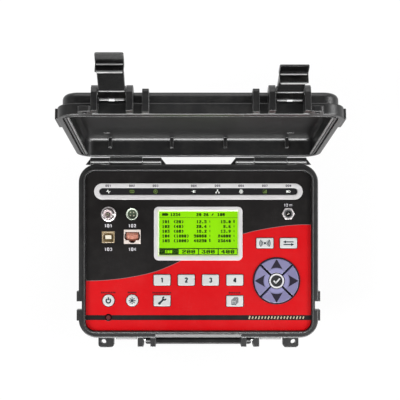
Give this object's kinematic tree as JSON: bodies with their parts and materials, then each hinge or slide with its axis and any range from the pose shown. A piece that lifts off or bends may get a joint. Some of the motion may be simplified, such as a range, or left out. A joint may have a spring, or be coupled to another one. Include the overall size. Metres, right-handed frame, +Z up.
{
  "type": "dsl line tester",
  "caption": "Line tester in a small waterproof carrying case: hinged lid, draw latches, fold-down handle, panel with lit display, keys, direction pad and line sockets.",
  "frame": {"origin": "middle of the case's flat underside", "axes": "+Z up, -Y towards the handle at the front, +X to the right of someone who reads the panel"},
  "size_m": [0.234, 0.2543, 0.2924],
  "materials": {
    "case_plastic": "fine moulded texture, satin",
    "latch_plastic": "satin moulded",
    "handle_plastic": "satin moulded",
    "seal_rubber": "soft matte",
    "pin_steel": "turned, plain",
    "plate_aluminium": "milled",
    "panel_print": "printed film, black and red, fine grain",
    "bezel_grey": "satin",
    "smoked_window": "smoked, glossy",
    "led_body": "clear lens",
    "display_lit": "lit from behind",
    "module_dark": "moulded",
    "sensor_red": "tinted lens",
    "ring_dark": "satin",
    "mat_silicone": "matte",
    "board_green": "solder mask",
    "chip_black": "moulded",
    "nickel": "nickel plated",
    "battery_wrap": "shrink wrap",
    "tray_plastic": "moulded",
    "insulator_white": "smooth",
    "gold_contact": "plated",
    "insert_green": "moulded",
    "socket_brass": "stamped",
    "socket_white": "moulded",
    "copper_contact": "copper coloured",
    "jack_dark": "moulded",
    "key_grey": "satin",
    "key_lavender": "satin",
    "key_black": "satin, white ring"
  },
  "bodies": {
    "base": {"base_shell": "case_plastic", "hinge_pins": "pin_steel", "handle_pins": "pin_steel", "panel_plate": "plate_aluminium", "panel_film": "panel_print", "panel_screws": "pin_steel", "status_bezel": "bezel_grey", "status_window": "smoked_window", "status_leds": "led_body", "display_bezel": "bezel_grey", "display_window": "display_lit", "display_module": "module_dark", "sensor_lens": "sensor_red", "arrow_key_ring": "ring_dark", "keypad_mat": "mat_silicone", "main_board": "board_green", "board_parts": "chip_black", "board_standoffs": "nickel", "board_screws": "pin_steel", "battery_pack": "battery_wrap", "battery_tray": "tray_plastic", "bayonet_shell": "nickel", "bayonet_insulator": "insulator_white", "bayonet_contact": "gold_contact", "round_socket_shell": "nickel", "round_socket_insert": "insert_green", "round_socket_pins": "gold_contact", "square_socket_shell": "socket_brass", "square_socket_tongue": "insulator_white", "network_socket": "socket_white", "network_contacts": "copper_contact", "power_jack_nut": "nickel", "power_jack_sleeve": "jack_dark", "power_jack_pin": "nickel"},
    "lid": {"lid_shell": "case_plastic", "lid_gasket": "seal_rubber", "latch_pins": "pin_steel"},
    "latch_left": {"latch_left": "latch_plastic"},
    "latch_right": {"latch_right": "latch_plastic"},
    "handle": {"handle": "handle_plastic"},
    "soft_key_1": {"soft_key_1": "key_grey"},
    "soft_key_2": {"soft_key_2": "key_grey"},
    "soft_key_3": {"soft_key_3": "key_grey"},
    "soft_key_4": {"soft_key_4": "key_grey"},
    "tools_key": {"tools_key": "key_grey"},
    "pages_key": {"pages_key": "key_grey"},
    "waves_key": {"waves_key": "key_grey"},
    "mode_key": {"mode_key": "key_grey"},
    "power_key": {"power_key": "key_grey"},
    "light_key": {"light_key": "key_grey"},
    "up_key": {"up_key": "key_lavender"},
    "down_key": {"down_key": "key_lavender"},
    "left_key": {"left_key": "key_lavender"},
    "right_key": {"right_key": "key_lavender"},
    "centre_key": {"centre_key": "key_black"}
  },
  "joints": [
    {"name": "lid_hinge", "type": "hinge", "parent": "base", "child": "lid", "pos_m": [0, 0.0867, 0.0855], "axis": [1, 0, 0], "range_deg": [0, 99]},
    {"name": "latch_left_swing", "type": "hinge", "parent": "lid", "child": "latch_left", "pos_m": [-0.06965, 0.13265, 0.2554], "axis": [1, 0, 0], "range_deg": [-14, 122]},
    {"name": "latch_right_swing", "type": "hinge", "parent": "lid", "child": "latch_right", "pos_m": [0.06965, 0.13265, 0.2554], "axis": [1, 0, 0], "range_deg": [-31, 104.5]},
    {"name": "handle_swing", "type": "hinge", "parent": "base", "child": "handle", "pos_m": [0, -0.087, 0.071], "axis": [-1, 0, 0], "range_deg": [0, 100]},
    {"name": "soft_key_1_press", "type": "slide", "parent": "base", "child": "soft_key_1", "axis": [0, 0, -1], "range_m": [0, 0.001], "stiffness_N_per_m": 800},
    {"name": "soft_key_2_press", "type": "slide", "parent": "base", "child": "soft_key_2", "axis": [0, 0, -1], "range_m": [0, 0.001], "stiffness_N_per_m": 800},
    {"name": "soft_key_3_press", "type": "slide", "parent": "base", "child": "soft_key_3", "axis": [0, 0, -1], "range_m": [0, 0.001], "stiffness_N_per_m": 800},
    {"name": "soft_key_4_press", "type": "slide", "parent": "base", "child": "soft_key_4", "axis": [0, 0, -1], "range_m": [0, 0.001], "stiffness_N_per_m": 800},
    {"name": "tools_key_press", "type": "slide", "parent": "base", "child": "tools_key", "axis": [0, 0, -1], "range_m": [0, 0.001], "stiffness_N_per_m": 800},
    {"name": "pages_key_press", "type": "slide", "parent": "base", "child": "pages_key", "axis": [0, 0, -1], "range_m": [0, 0.001], "stiffness_N_per_m": 800},
    {"name": "waves_key_press", "type": "slide", "parent": "base", "child": "waves_key", "axis": [0, 0, -1], "range_m": [0, 0.001], "stiffness_N_per_m": 800},
    {"name": "mode_key_press", "type": "slide", "parent": "base", "child": "mode_key", "axis": [0, 0, -1], "range_m": [0, 0.001], "stiffness_N_per_m": 800},
    {"name": "power_key_press", "type": "slide", "parent": "base", "child": "power_key", "axis": [0, 0, -1], "range_m": [0, 0.001], "stiffness_N_per_m": 800},
    {"name": "light_key_press", "type": "slide", "parent": "base", "child": "light_key", "axis": [0, 0, -1], "range_m": [0, 0.001], "stiffness_N_per_m": 800},
    {"name": "up_key_press", "type": "slide", "parent": "base", "child": "up_key", "axis": [0, 0, -1], "range_m": [0, 0.001], "stiffness_N_per_m": 800},
    {"name": "down_key_press", "type": "slide", "parent": "base", "child": "down_key", "axis": [0, 0, -1], "range_m": [0, 0.001], "stiffness_N_per_m": 800},
    {"name": "left_key_press", "type": "slide", "parent": "base", "child": "left_key", "axis": [0, 0, -1], "range_m": [0, 0.001], "stiffness_N_per_m": 800},
    {"name": "right_key_press", "type": "slide", "parent": "base", "child": "right_key", "axis": [0, 0, -1], "range_m": [0, 0.001], "stiffness_N_per_m": 800},
    {"name": "centre_key_press", "type": "slide", "parent": "base", "child": "centre_key", "axis": [0, 0, -1], "range_m": [0, 0.001], "stiffness_N_per_m": 800}
  ]
}
